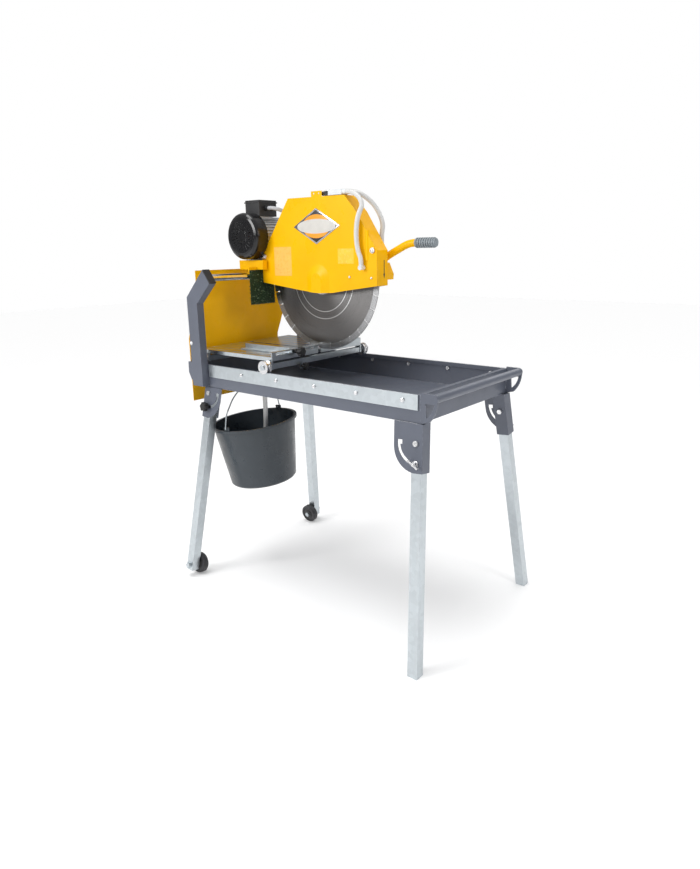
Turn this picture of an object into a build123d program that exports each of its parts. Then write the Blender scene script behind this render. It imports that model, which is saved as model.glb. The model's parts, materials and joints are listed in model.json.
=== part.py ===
"""Masonry saw with a folding stand: a wet-cut bench saw with a tilting head, a rolling cart and a water trough.

Frame: X runs along the bench, with the push handle at +X. Y runs across it, and the guard's cover faces -Y.
Z is up, and the floor is Z = 0. Every length is in millimetres.
"""

from build123d import *
import math
import os

# ---------------------------------------------------------------- driving dimensions
BLADE_R = 250.0            # a 500 mm blade
BLADE_X, BLADE_Z = -97.0, 1149.0
BLADE_T = 3.5

BENCH_HALF = 270.0         # half the width over the trough's walls
BENCH_TOP, BENCH_BOTTOM = 846.0, 760.0
BENCH_FRONT = 502.0
BENCH_REAR_TOP, BENCH_REAR_BOTTOM = -561.0, -539.0
SHEET = 3.0

RAIL_T, RAIL_LOW = 4.0, 800.0
RAIL_X0, RAIL_X1 = -437.0, 495.0

SPLAY = 8.5                # every leg leans out sideways by this many degrees
LEG = 34.0                 # side of the square leg tube
LEG_WALL = 2.5
FRONT_PIVOT = (496.0, -262.3, 700.0)
REAR_PIVOT = (-442.0, -257.0, 735.0)
FRONT_LEAN, REAR_LEAN = -5.0, 5.85
FRONT_LOCK_R, REAR_LOCK_R = 60.0, 52.0
WHEEL_R, WHEEL_W = 40.0, 28.0

SHAFT_X, SHAFT_Z, SHAFT_R = -400.0, 1160.0, 12.5
MOTOR_X, MOTOR_Z = -420.0, 1304.0
COWL_R = 84.0
GUARD_HALF = 30.0
BEAM_Y0, BEAM_Y1, BEAM_Z0, BEAM_Z1 = 34.0, 74.0, 1150.0, 1206.0

TABLE_TOP, TABLE_HALF = 896.0, 245.0
TABLE_REAR, TABLE_FRONT = -527.0, -126.0
ROLLER_Z, ROLLER_Y = 864.1, 269.0
ROLLER_R, ROLLER_FLANGE_R = 18.0, 23.0
ROLLER_FRONT_X, ROLLER_REAR_X = -138.0, -474.0
HEM_X0 = -525.0

BUCKET = (-413.0, -85.0, 609.0)   # midway between the bail's two hooks
BUCKET_LIP_R, BUCKET_R, BUCKET_BOTTOM_R = 170.5, 163.0, 132.5
BUCKET_RIM_Z, BUCKET_H = -7.0, 248.0
BUCKET_TURN, BAIL_TILT, BUCKET_TILT = 7.7, 4.2, -5.1
BAIL_H, BAIL_R = 134.0, 2.5

HOSE_D, DRAIN_D, CONDUIT_D = 16.0, 18.0, 14.0
RUN_FIT = 0.05


# ---------------------------------------------------------------- shape helpers
def box(x0, x1, y0, y1, z0, z1):
    centre = Pos((x0 + x1) / 2, (y0 + y1) / 2, (z0 + z1) / 2)
    return centre * Box(abs(x1 - x0), abs(y1 - y0), abs(z1 - z0))


def cyl_y(x, z, y0, y1, r):
    return Pos(x, (y0 + y1) / 2, z) * Rot(90, 0, 0) * Cylinder(r, abs(y1 - y0))


def cyl_x(y, z, x0, x1, r):
    return Pos((x0 + x1) / 2, y, z) * Rot(0, 90, 0) * Cylinder(r, abs(x1 - x0))


def cyl_z(x, y, z0, z1, r):
    return Pos(x, y, (z0 + z1) / 2) * Cylinder(r, abs(z1 - z0))


def hex_y(x, z, y0, y1, across):
    outline = RegularPolygon(across / 2, 6, major_radius=False)
    return extrude(Plane((x, y0, z), x_dir=(1, 0, 0), z_dir=(0, 1, 0)) * outline, y1 - y0)


def hex_x(y, z, x0, x1, across):
    outline = RegularPolygon(across / 2, 6, major_radius=False)
    return extrude(Plane((x0, y, z), x_dir=(0, 1, 0), z_dir=(1, 0, 0)) * outline, x1 - x0)


def face_xz(points):
    return make_face(Polyline([(x, 0, z) for x, z in points], close=True))


def prism_xz(points, y0, y1):
    return Pos(0, y0, 0) * extrude(face_xz(points), amount=y1 - y0, dir=(0, 1, 0))


def prism_yz(points, x0, x1):
    face = make_face(Polyline([(x0, y, z) for y, z in points], close=True))
    return extrude(face, amount=x1 - x0, dir=(1, 0, 0))


def spun_y(points, x, z):
    """A solid of revolution about the line along Y through (x, z), from (radius, y) points."""
    face = make_face(Polyline([(x + r, y, z) for r, y in points], close=True))
    return revolve(face, axis=Axis((x, 0, z), (0, 1, 0)))


def capsule_xz(c1, r1, c2, r2, y0, y1):
    """Two discs and the straight tangent sides between them."""
    dx, dz = c2[0] - c1[0], c2[1] - c1[1]
    along = math.atan2(dz, dx)
    lean = math.acos((r1 - r2) / math.hypot(dx, dz))
    corners = []
    for centre, r, signs in ((c1, r1, (1, -1)), (c2, r2, (-1, 1))):
        for sign in signs:
            angle = along + sign * lean
            corners.append((centre[0] + r * math.cos(angle), centre[1] + r * math.sin(angle)))
    sides = prism_xz(corners, y0, y1)
    return sides + cyl_y(*c1, y0, y1, r1) + cyl_y(*c2, y0, y1, r2)


def far_side(shape):
    return mirror(shape, about=Plane.XZ)


def cord(name, diameter, route):
    """A round tube along straight runs that tangent arcs join."""
    runs = [math.dist(a, b) for a, b in zip(route, route[1:])]
    radii = []
    for i in range(1, len(route) - 1):
        before = Vector(*route[i]) - Vector(*route[i - 1])
        after = Vector(*route[i + 1]) - Vector(*route[i])
        half_turn = math.radians(before.get_angle(after)) / 2
        radii.append(0.45 * min(runs[i - 1], runs[i]) / math.tan(half_turn))
    path = FilletPolyline(*route, radius=radii)
    start = Plane(path @ 0, z_dir=path % 0)
    tube = sweep(start * Circle(diameter / 2), path=path)
    print(name, "length", round(path.length, 1), "radii", [round(r) for r in radii])
    print(name, "volume over section x length", round(tube.volume / (math.pi * diameter**2 / 4 * path.length), 3))
    return tube


parts = {}

# ---------------------------------------------------------------- trough, rails and push handle
trough_side = [(BENCH_REAR_TOP, BENCH_TOP), (BENCH_REAR_BOTTOM, BENCH_BOTTOM),
               (BENCH_FRONT, BENCH_BOTTOM), (BENCH_FRONT, BENCH_TOP)]
trough_inside = [(BENCH_REAR_TOP + SHEET - 1, BENCH_TOP + 4),
                 (BENCH_REAR_BOTTOM + SHEET, BENCH_BOTTOM + SHEET),
                 (BENCH_FRONT - SHEET, BENCH_BOTTOM + SHEET), (BENCH_FRONT - SHEET, BENCH_TOP + 4)]
wall = BENCH_HALF - SHEET
trough = prism_xz(trough_side, -BENCH_HALF, BENCH_HALF) - prism_xz(trough_inside, -wall, wall)
hem = box(HEM_X0, RAIL_X1, -wall, -wall + SHEET, BENCH_TOP - 14, BENCH_TOP)
front_fold = box(BENCH_FRONT - 14, BENCH_FRONT, -wall, wall, BENCH_TOP - 3, BENCH_TOP)
drain_x, drain_y = -327.0, -100.0
rear_tab = prism_xz([(BENCH_REAR_TOP, BENCH_TOP), (BENCH_REAR_TOP - 1, 806),
                     (BENCH_REAR_BOTTOM - 9, 778), (BENCH_REAR_BOTTOM + 20, 778),
                     (BENCH_REAR_TOP + 40, BENCH_TOP)], -BENCH_HALF, -wall)
staple_turn = Pos(BUCKET[0], BUCKET[1], 0) * Rot(0, 0, BUCKET_TURN)
apex_y = -BAIL_H * math.sin(math.radians(BAIL_TILT))
apex_z = BUCKET[2] + BAIL_H * math.cos(math.radians(BAIL_TILT))
STAPLE_R, STAPLE_WIRE = 8.0, 3.0
staple_z = apex_z + STAPLE_R - STAPLE_WIRE - BAIL_R - 0.4
staple_path = (Line((-STAPLE_R, apex_y, BENCH_BOTTOM), (-STAPLE_R, apex_y, staple_z))
               + ThreePointArc((-STAPLE_R, apex_y, staple_z), (0, apex_y, staple_z - STAPLE_R),
                               (STAPLE_R, apex_y, staple_z))
               + Line((STAPLE_R, apex_y, staple_z), (STAPLE_R, apex_y, BENCH_BOTTOM)))
staple_start = Plane((-STAPLE_R, apex_y, BENCH_BOTTOM), z_dir=(0, 0, -1))
staple = staple_turn * sweep(staple_start * Circle(STAPLE_WIRE), path=staple_path)
trough = trough + hem + far_side(hem) + front_fold + rear_tab + far_side(rear_tab) + staple
trough = trough - cyl_z(drain_x, drain_y, BENCH_BOTTOM - 1, BENCH_BOTTOM + SHEET + 1, 12)
parts["trough"] = trough

rail = box(RAIL_X0, RAIL_X1, -BENCH_HALF - RAIL_T, -BENCH_HALF, RAIL_LOW, BENCH_TOP)
parts["rail_near"] = rail
parts["rail_far"] = far_side(rail)

bolt_row = Part() + [
    cyl_y(x, 825, -BENCH_HALF - RAIL_T - 4, -BENCH_HALF - RAIL_T, 6.5) + hex_y(x, 825, -wall, -wall + 6, 12)
    for x in [-256 + 174.5 * i for i in range(5)]]
parts["rail_bolts"] = bolt_row + far_side(bolt_row)

BAR_X, BAR_Z, BAR_R = 546.0, 838.0, 13.5
plate_path = (Line((BENCH_FRONT, 760), (BENCH_FRONT, 852)) + Line((BENCH_FRONT, 852), (548, 852))
              + ThreePointArc((548, 852), (557.5, 847), (560, 836)) + Line((560, 836), (558, 822))
              + ThreePointArc((558, 822), (550, 793), (532, 768)) + Line((532, 768), (BENCH_FRONT, 760)))
hole_path = (Line((519, 822), (548, 822)) + ThreePointArc((548, 822), (540, 798), (523, 780))
             + Line((523, 780), (519, 822)))
upright = Plane((0, -BENCH_HALF, 0), x_dir=(1, 0, 0), z_dir=(0, -1, 0))
end_plate = extrude(upright * make_face(plate_path), -6) - extrude(upright * make_face(hole_path), -6)
bar = cyl_y(BAR_X, BAR_Z, -BENCH_HALF, BENCH_HALF, BAR_R) - cyl_y(BAR_X, BAR_Z, -BENCH_HALF, BENCH_HALF, BAR_R - 2.5)
bar_plug = cyl_y(BAR_X, BAR_Z, -BENCH_HALF, -BENCH_HALF + 3, BAR_R)
parts["push_handle"] = end_plate + far_side(end_plate) + bar + bar_plug + far_side(bar_plug)

# ---------------------------------------------------------------- posts, pivot shaft and splash panel
POST_Y0, POST_Y1 = -300.0, -270.0
post_outline = [(-501, 766), (-501, 1092), (-403, 1188), (-368, 1142), (-445, 1070), (-445, 766)]
post_inside = [(-498, 769), (-498, 1090.8), (-401.6, 1185.2), (-370.6, 1143.6), (-448, 1071.3), (-448, 769)]
post = prism_xz(post_outline, POST_Y0, POST_Y1) - prism_xz(post_inside, POST_Y0 + 3, POST_Y1 - 3)
post = post - cyl_y(SHAFT_X, SHAFT_Z, POST_Y1 - 4, POST_Y1 + 1, SHAFT_R)
parts["posts"] = post + far_side(post)
cap_outline = [(-403, 1188), (-368, 1142), (-364.4, 1144.7), (-399.4, 1190.7)]
cap = prism_xz(cap_outline, POST_Y0, POST_Y1)
parts["post_caps"] = cap + far_side(cap)
shaft_end = -POST_Y0 - 3
parts["pivot_shaft"] = cyl_y(SHAFT_X, SHAFT_Z, -shaft_end, shaft_end, SHAFT_R)

panel_outline = [(-258, 690), (-258, 930), (-206, 1130), (-206, 1183), (92, 1183),
                 (221, 1100), (252, 997), (213, 908), (213, 690)]
panel = prism_yz(panel_outline, BENCH_REAR_TOP - 2, BENCH_REAR_TOP)
for y in (-235, 190):
    for z in (1000, 836):
        panel += cyl_x(y, z, BENCH_REAR_TOP - 6, BENCH_REAR_TOP - 2, 7)
parts["splash_panel"] = panel


# ---------------------------------------------------------------- folding legs
def placed(pivot, lean):
    """From a leg's own frame, with its pivot at the origin and its foot down -Z, to its place on the bench."""
    return Pos(*pivot) * Rot(-SPLAY, 0, 0) * Rot(0, lean, 0)


def leg_tube(length, lock_r):
    half = LEG / 2
    top = 10
    tube = box(-half, half, -half, half, -length, top)
    tube -= box(-half + LEG_WALL, half - LEG_WALL, -half + LEG_WALL, half - LEG_WALL, -length - 1, top + 1)
    tube -= cyl_y(0, 0, -half - 1, half + 1, 5 + RUN_FIT)
    return tube - cyl_y(0, -lock_r, -half - 1, half + 1, 4 + RUN_FIT)


def leg_bracket(toward, lock_r, bulge, below_lock):
    """A U-channel around the leg's top. toward is the side, +1 or -1, that the leg folds to."""
    out0, out1 = -LEG / 2 - 3.5, -LEG / 2 - 0.5
    back = -toward * (LEG / 2 + 6.2)
    depth = lock_r + below_lock
    outline = (Line((toward * bulge, 90), (toward * bulge, -10))
               + ThreePointArc((toward * bulge, -10), (toward * bulge * 0.72, -depth * 0.72), (toward * 8, -depth))
               + Line((toward * 8, -depth), (back, -depth)) + Line((back, -depth), (back, 90))
               + Line((back, 90), (toward * bulge, 90)))
    plate_plane = Plane((0, out0, 0), x_dir=(1, 0, 0), z_dir=(0, -1, 0))
    plate = extrude(plate_plane * make_face(outline), -(out1 - out0))
    ring = cyl_y(0, 0, out0 - 1, out1 + 1, lock_r + 5) - cyl_y(0, 0, out0 - 1, out1 + 1, lock_r - 5)
    quarter = box(0, toward * (lock_r + 6), out0 - 1, out1 + 1, -lock_r - 6, -2)
    slot = (ring & quarter) + cyl_y(0, -lock_r, out0 - 1, out1 + 1, 5)
    slot += box(toward * (lock_r - 12), toward * (lock_r + 5), out0 - 1, out1 + 1, -4, 9)
    inner = box(back, toward * 22, -out1, -out0, -depth, 90)
    web = box(back, back + toward * 3, out0, -out0, -depth, 90)
    channel = plate + inner + web - slot
    return channel - cyl_y(0, 0, out0 - 1, -out0 + 1, 5 + RUN_FIT)


def pivot_bolt():
    head = cyl_y(0, 0, -25.5, -20.5, 8.5)
    nut = hex_y(0, 0, 20.5, 28, 16)
    return head + nut + cyl_y(0, 0, -20.5, 20.5, 5)


def wing_screw(lock_r):
    """The lock screw of a front leg: a washer, a boss and two wings."""
    z = -lock_r
    screw = cyl_y(0, z, -24, 16, 4) + cyl_y(0, z, -23.2, -20.9, 10) + cyl_y(0, z, -34, -23.2, 7)
    wing = Pos(0, -35, z) * Rot(0, 35, 0) * box(-21, 21, -5, 5, -3, 3)
    return screw + fillet(wing.edges().filter_by(Axis.Y), 1)


def star_knob_screw(lock_r):
    """The lock screw of a rear leg: a washer and a six-lobed knob."""
    z = -lock_r
    screw = cyl_y(0, z, -30, 16, 4) + cyl_y(0, z, -23.2, -20.9, 10)
    knob = cyl_y(0, z, -44, -26, 13) + cyl_y(0, z, -26, -23.2, 8)
    for i in range(6):
        angle = math.radians(60 * i)
        knob += cyl_y(12 * math.cos(angle), z + 12 * math.sin(angle), -42, -28, 6)
    return screw + knob


half_space = box(-2000, 2000, -2000, 2000, -900, 0)
above_bench = box(-2000, 2000, -2000, 2000, BENCH_BOTTOM, 2000)
front_place = placed(FRONT_PIVOT, FRONT_LEAN)
rear_place = placed(REAR_PIVOT, REAR_LEAN)
wheel_y = LEG / 2 + 2.3
sin_splay, cos_splay = math.sin(math.radians(SPLAY)), math.cos(math.radians(SPLAY))
tread_half = WHEEL_W / 2 - 5
axle_z = WHEEL_R * cos_splay + (tread_half + wheel_y + WHEEL_W / 2) * sin_splay
axle_drop = (REAR_PIVOT[2] - axle_z) / (cos_splay * math.cos(math.radians(REAR_LEAN)))

front_leg = front_place * leg_tube(740, FRONT_LOCK_R) - half_space
rear_axle = cyl_y(0, -axle_drop, -LEG / 2 - 2, LEG / 2 + WHEEL_W + 8, 6)
rear_axle += hex_y(0, -axle_drop, -LEG / 2 - 11, -LEG / 2, 19)
rear_axle += cyl_y(0, -axle_drop, LEG / 2, LEG / 2 + 2, 11)
rear_axle += hex_y(0, -axle_drop, LEG / 2 + 2.6 + WHEEL_W, LEG / 2 + 10 + WHEEL_W, 19)
rear_leg = rear_place * (leg_tube(axle_drop + 20, REAR_LOCK_R) + rear_axle)
wheel_profile = [(6 + RUN_FIT, wheel_y), (18, wheel_y), (18, wheel_y + 4), (30, wheel_y + 4),
                 (30, wheel_y + 1), (37, wheel_y + 1), (WHEEL_R, wheel_y + 5),
                 (WHEEL_R, wheel_y + WHEEL_W - 5), (37, wheel_y + WHEEL_W - 1), (30, wheel_y + WHEEL_W - 1),
                 (30, wheel_y + WHEEL_W - 4), (18, wheel_y + WHEEL_W - 4), (18, wheel_y + WHEEL_W),
                 (6 + RUN_FIT, wheel_y + WHEEL_W)]
wheel = rear_place * spun_y(wheel_profile, 0, -axle_drop)
front_bracket = front_place * leg_bracket(-1, FRONT_LOCK_R, 78, 28) - above_bench
rear_bracket = rear_place * leg_bracket(1, REAR_LOCK_R, 68, 42) - above_bench
bolts = Part() + [front_place * pivot_bolt(), rear_place * pivot_bolt()]
front_lock = front_place * wing_screw(FRONT_LOCK_R)
rear_lock = rear_place * star_knob_screw(REAR_LOCK_R)
for name, near in (("leg_front", front_leg), ("leg_rear", rear_leg), ("lock_front", front_lock),
                   ("lock_rear", rear_lock), ("wheel", wheel)):
    parts[name + "_near"] = near
    parts[name + "_far"] = far_side(near)
parts["brackets_front"] = front_bracket + far_side(front_bracket)
parts["brackets_rear"] = rear_bracket + far_side(rear_bracket)
parts["pivot_bolts"] = bolts + far_side(bolts)

# ---------------------------------------------------------------- swing arm with the motor plate
plate_x0, plate_x1, plate_y0, plate_y1 = -479.0, -380.0, -55.0, 150.0
plate_z0, plate_z1 = 1183.0, 1217.0
arm = box(plate_x0, plate_x1, plate_y0, plate_y1, plate_z0, plate_z1)
arm += box(plate_x1, -350, plate_y0, -33, plate_z0, plate_z1)
arm -= box(plate_x0 + 4, plate_x1 - 4, plate_y0 + 4, plate_y1 - 4, plate_z0 - 1, plate_z1 - 4)
sleeve = cyl_y(SHAFT_X, SHAFT_Z, BEAM_Y0, 146, 22)
webs = box(-425, -384, BEAM_Y0, BEAM_Y0 + 6, SHAFT_Z, plate_z1 - 2)
webs += box(-425, -384, 140, 146, SHAFT_Z, plate_z1 - 2)
beam_outline = [(SHAFT_X, BEAM_Z0), (158, BEAM_Z0), (160, BEAM_Z0 + 18), (142, BEAM_Z1), (SHAFT_X, BEAM_Z1)]
beam = prism_xz(beam_outline, BEAM_Y0, BEAM_Y1)
beam -= box(SHAFT_X + 26, 138, BEAM_Y0 + 3, BEAM_Y1 - 3, BEAM_Z0 + 3, BEAM_Z1 - 3)
housing = cyl_y(BLADE_X, BLADE_Z, BEAM_Y0, 112, 38) + cyl_y(BLADE_X, BLADE_Z, GUARD_HALF, BEAM_Y0, 50)
near_hub = cyl_y(SHAFT_X, SHAFT_Z, plate_y0, -33, 15.5) + box(-414, -386, plate_y0, -33, SHAFT_Z, plate_z0)
mat_holder = box(-388, -384, -95, 34, 1174, 1192)
cover_bracket = box(-250, -220, BEAM_Y1 - 1, 118, 1165, 1195)
arm = arm + webs + sleeve + near_hub + beam + housing + mat_holder + cover_bracket
arm -= cyl_y(SHAFT_X, SHAFT_Z, plate_y0 - 1, 147, SHAFT_R + RUN_FIT)
arm -= cyl_y(BLADE_X, BLADE_Z, GUARD_HALF - 1, 113, 15 + RUN_FIT)
parts["swing_arm"] = arm

parts["splash_mat"] = box(-384, -378, -95, 30, 1055, 1182)

# ---------------------------------------------------------------- motor
BODY_Y0, BODY_Y1 = -35.0, 108.0
body = cyl_y(MOTOR_X, MOTOR_Z, BODY_Y0, BODY_Y1, 64)
for i in range(36):
    fin = Pos(MOTOR_X, (BODY_Y0 + BODY_Y1) / 2, MOTOR_Z) * Rot(0, 10 * i, 0)
    body += fin * box(60, 72, (BODY_Y0 - BODY_Y1) / 2 + 3, (BODY_Y1 - BODY_Y0) / 2 - 6, -1.4, 1.4)
body += cyl_y(MOTOR_X, MOTOR_Z, BODY_Y1 - 6, BODY_Y1 + 4, 70) + cyl_y(MOTOR_X, MOTOR_Z, BODY_Y1, BODY_Y1 + 9, 28)
for y in (-14, 74):
    body += box(MOTOR_X - 52, MOTOR_X + 38, y - 12, y + 12, plate_z1, plate_z1 + 10)
    body += box(MOTOR_X - 40, MOTOR_X + 30, y - 9, y + 9, plate_z1 + 10, MOTOR_Z - 50)
body += box(MOTOR_X - 30, MOTOR_X + 30, -34, 44, MOTOR_Z + 60, MOTOR_Z + 72)
parts["motor_body"] = body - cyl_y(MOTOR_X, MOTOR_Z, -60, 140, 12 + RUN_FIT)

cowl_profile = [(COWL_R, BODY_Y0 + 1), (COWL_R, -76), (COWL_R - 2, -83), (COWL_R - 7, -88.5), (COWL_R - 15, -91.4),
                (COWL_R - 24, -92), (0, -92), (0, -90), (COWL_R - 24, -90), (COWL_R - 15.4, -89.4),
                (COWL_R - 8.5, -87), (COWL_R - 4, -82), (COWL_R - 2, -76), (COWL_R - 2, BODY_Y0 + 1)]
cowl = spun_y(cowl_profile, MOTOR_X, MOTOR_Z)
slot_count = 24
for ring_r, length in ((26, 12), (46, 16)):
    for i in range(slot_count):
        turn = Pos(MOTOR_X, -91, MOTOR_Z) * Rot(0, 360 / slot_count * i, 0)
        cowl -= turn * box(ring_r - length / 2, ring_r + length / 2, -3, 3, -1.4, 1.4)
cowl_lip = spun_y([(72.3, BODY_Y0 - 3), (COWL_R - 1, BODY_Y0 - 3), (COWL_R - 1, BODY_Y0 + 1), (72.3, BODY_Y0 + 1)],
                  MOTOR_X, MOTOR_Z)
parts["fan_cowl"] = cowl + cowl_lip

fan = cyl_y(MOTOR_X, MOTOR_Z, -72, -42, 18) + cyl_y(MOTOR_X, MOTOR_Z, -46, -43, 66)
for i in range(8):
    fan += Pos(MOTOR_X, -59, MOTOR_Z) * Rot(0, 45 * i, 0) * box(16, 64, -14, 14, -1.5, 1.5)
parts["motor_shaft"] = fan + cyl_y(MOTOR_X, MOTOR_Z, -72, 160, 12)

TERM_TOP, TERM_X0, TERM_X1, GLAND_Z = 1434.0, MOTOR_X - 35, MOTOR_X + 42, 1405.0
terminal = box(TERM_X0, TERM_X1, BODY_Y0 + 2, 58, MOTOR_Z + 72, TERM_TOP)
terminal = fillet(terminal.edges().filter_by(Axis.Z), 4)
lid = box(TERM_X0 - 2, TERM_X1 + 2, BODY_Y0, 60, TERM_TOP - 10, TERM_TOP - 6)
gland_a = cyl_x(0, GLAND_Z, TERM_X1, TERM_X1 + 15, 10)
gland_b = cyl_x(32, GLAND_Z, TERM_X1, TERM_X1 + 10, 8)
parts["terminal_box"] = terminal + lid + gland_a + gland_b

# ---------------------------------------------------------------- blade, arbor and belt drive
blade = cyl_y(BLADE_X, BLADE_Z, -BLADE_T / 2, BLADE_T / 2, BLADE_R)
blade -= cyl_y(BLADE_X, BLADE_Z, -BLADE_T, BLADE_T, 12.5)
for i in range(30):
    turn = Pos(BLADE_X, 0, BLADE_Z) * Rot(0, 12 * i, 0)
    blade -= turn * box(BLADE_R - 22, BLADE_R + 1, -BLADE_T, BLADE_T, -1.5, 1.5)
    blade -= turn * box(BLADE_R - 23, BLADE_R - 20, -BLADE_T, BLADE_T, -1.5, 6)
parts["blade"] = blade
arbor = cyl_y(BLADE_X, BLADE_Z, -26, 14, 12.5) + cyl_y(BLADE_X, BLADE_Z, 14, 160, 15)
arbor += cyl_y(BLADE_X, BLADE_Z, BLADE_T / 2, 14, 52) + cyl_y(BLADE_X, BLADE_Z, -13, -BLADE_T / 2, 52)
arbor += hex_y(BLADE_X, BLADE_Z, -27, -13, 41)
parts["arbor"] = arbor

PULLEY_MOTOR_R, PULLEY_ARBOR_R = 38.0, 55.0
for name, x, z, r, bore in (("motor_pulley", MOTOR_X, MOTOR_Z, PULLEY_MOTOR_R, 12),
                            ("arbor_pulley", BLADE_X, BLADE_Z, PULLEY_ARBOR_R, 15)):
    profile = [(bore, 128), (r, 128), (r, 131), (r - 4, 133), (r - 4, 151), (r, 153), (r, 156), (bore, 156)]
    parts[name] = spun_y(profile, x, z)
motor_end, blade_end = (MOTOR_X, MOTOR_Z), (BLADE_X, BLADE_Z)
belt = capsule_xz(motor_end, PULLEY_MOTOR_R + 3, blade_end, PULLEY_ARBOR_R + 3, 134, 150)
belt -= capsule_xz(motor_end, PULLEY_MOTOR_R - 3.6, blade_end, PULLEY_ARBOR_R - 3.6, 133, 151)
parts["drive_belt"] = belt

cover = capsule_xz(motor_end, 58, blade_end, 72, 118, 168)
cover -= capsule_xz(motor_end, 56, blade_end, 70, 120, 166)
cover -= cyl_y(*motor_end, 117, 121, 32) + cyl_y(*blade_end, 117, 121, 24)
parts["belt_guard"] = cover

# ---------------------------------------------------------------- blade guard
guard_outline = [(-377, 1135), (-377, 1232), (-232, 1430), (28, 1428), (80, 1374), (166, 1247), (166, 1132),
                 (26, 1113), (-30, 1104.5), (-81, 1102.5), (-130, 1105), (-180, 1110), (-310, 1126)]
guard_face = face_xz(guard_outline)
inner_face = offset(guard_face, -2, kind=Kind.INTERSECTION)
shell = extrude(guard_face, amount=GUARD_HALF * 2 - 2, dir=(0, 1, 0)).moved(Pos(0, 2 - GUARD_HALF, 0))
hollow = extrude(inner_face, amount=GUARD_HALF * 2, dir=(0, 1, 0)).moved(Pos(0, -GUARD_HALF - 2, 0))
shell -= hollow
shell -= box(-375, 164, -GUARD_HALF - 1, GUARD_HALF - 2, 1090, 1137)
shell -= cyl_y(BLADE_X, BLADE_Z, GUARD_HALF - 3, GUARD_HALF + 1, 20)
parts["guard_shell"] = shell

cover_plate = extrude(guard_face, amount=2, dir=(0, 1, 0)).moved(Pos(0, -GUARD_HALF, 0))


def arch(r_base, r_top, y_base, y_top):
    """The raised arch over the arbor's nut: a cone's frustum with a wedge-sided foot down to the guard's edge."""
    dome = spun_y([(0, y_base), (r_base, y_base), (r_top, y_top), (0, y_top)], BLADE_X, BLADE_Z)
    foot_face = make_face(Polyline([(BLADE_X - r_base, y_base, BLADE_Z), (BLADE_X + r_base, y_base, BLADE_Z),
                                    (BLADE_X + r_top, y_top, BLADE_Z), (BLADE_X - r_top, y_top, BLADE_Z)],
                                   close=True))
    return dome + extrude(foot_face, amount=60, dir=(0, 0, -1))


below_edge = box(-400, 200, -60, 40, 1060, 1137) - prism_xz(guard_outline, -60, 40)
cover_plate += arch(54, 22, -GUARD_HALF + 0.5, -GUARD_HALF - 11) - below_edge
cover_plate -= arch(52, 20, -GUARD_HALF + 2.5, -GUARD_HALF - 9)
cover_plate += box(-119, -70, -GUARD_HALF, -GUARD_HALF + 2, 1425, 1447)
for x in (-107, -84):
    cover_plate -= cyl_y(x, 1439, -GUARD_HALF - 1, -GUARD_HALF + 3, 3)
ridge = cyl_z(124, -GUARD_HALF + 9, 1215, 1312, 12) & box(100, 150, -GUARD_HALF - 4, -GUARD_HALF + 0.5, 1200, 1330)
cover_plate += ridge
for x, z in ((-363, 1230), (149, 1247), (49, 1160), (143, 1158)):
    r = 7 if z > 1200 else 3.5
    cover_plate += cyl_y(x, z, -GUARD_HALF - 3, -GUARD_HALF, r)
parts["guard_cover"] = cover_plate

# ---------------------------------------------------------------- water fittings on the guard
OUT_X, OUT_Z = 32.0, 1439.0
NEAR_OUT_Y, FAR_OUT_Y = -20.0, -2.0
fittings = box(-42, 16, -29, 7, 1430, 1447)
for y in (NEAR_OUT_Y, FAR_OUT_Y):
    fittings += cyl_x(y, OUT_Z, 16, OUT_X, 8)
fittings += box(-66, -46, -23, -5, 1430, 1445) + cyl_x(-14, 1438, -46, -42, 7)
fittings += cyl_x(-14, 1438, -92, -66, 5) + cyl_x(-14, 1438, -78, -72, 7)
NOZZLE_X, NEAR_NOZZLE_Z, FAR_NOZZLE_Z = 109.0, 1192.0, 1258.0
FAR_NOZZLE_X = 132.0
near_elbow = cyl_y(NOZZLE_X, NEAR_NOZZLE_Z, -50, -GUARD_HALF, 8) + cyl_z(NOZZLE_X, -42, NEAR_NOZZLE_Z, 1201, 8)
far_elbow = cyl_y(FAR_NOZZLE_X, FAR_NOZZLE_Z, GUARD_HALF, 50, 8) + cyl_z(FAR_NOZZLE_X, 42, FAR_NOZZLE_Z, 1268, 8)
parts["water_fittings"] = Part() + [fittings, near_elbow, far_elbow]
lever = cyl_z(-54, -14, 1445.4, 1450, 5) + box(-86, -54, -17, -11, 1447.5, 1450)
parts["valve_lever"] = lever

near_route = [(OUT_X, NEAR_OUT_Y, OUT_Z), (62, NEAR_OUT_Y, OUT_Z), (114, -32, 1398), (99, -44, 1360),
              (92, -45, 1316), (93, -45, 1272), (100, -44, 1240), (NOZZLE_X, -42, 1222), (NOZZLE_X, -42, 1201)]
far_route = [(OUT_X, FAR_OUT_Y, OUT_Z), (62, FAR_OUT_Y, OUT_Z), (104, 20, 1408), (127, 36, 1370),
             (138, 44, 1330), (FAR_NOZZLE_X, 42, 1300), (FAR_NOZZLE_X, 42, 1268)]
drain_route = [(drain_x, drain_y, 727), (drain_x, drain_y, 670), (drain_x - 2, drain_y + 1, 615),
               (drain_x - 8, drain_y + 2, 562)]
conduit_route = [(TERM_X1 + 15, 0, GLAND_Z), (-328, 0, GLAND_Z), (-290, 44, 1380), (-232, 60, 1352), (-150, 64, 1326),
                 (-66, 68, 1306), (4, 80, 1294), (60, 99, 1278), (60, 99, 1240)]
parts["hose_near"] = cord("hose_near", HOSE_D, near_route)
parts["hose_far"] = cord("hose_far", HOSE_D, far_route)
parts["drain_hose"] = cord("drain_hose", DRAIN_D, drain_route)
parts["motor_conduit"] = cord("motor_conduit", CONDUIT_D, conduit_route)

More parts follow.
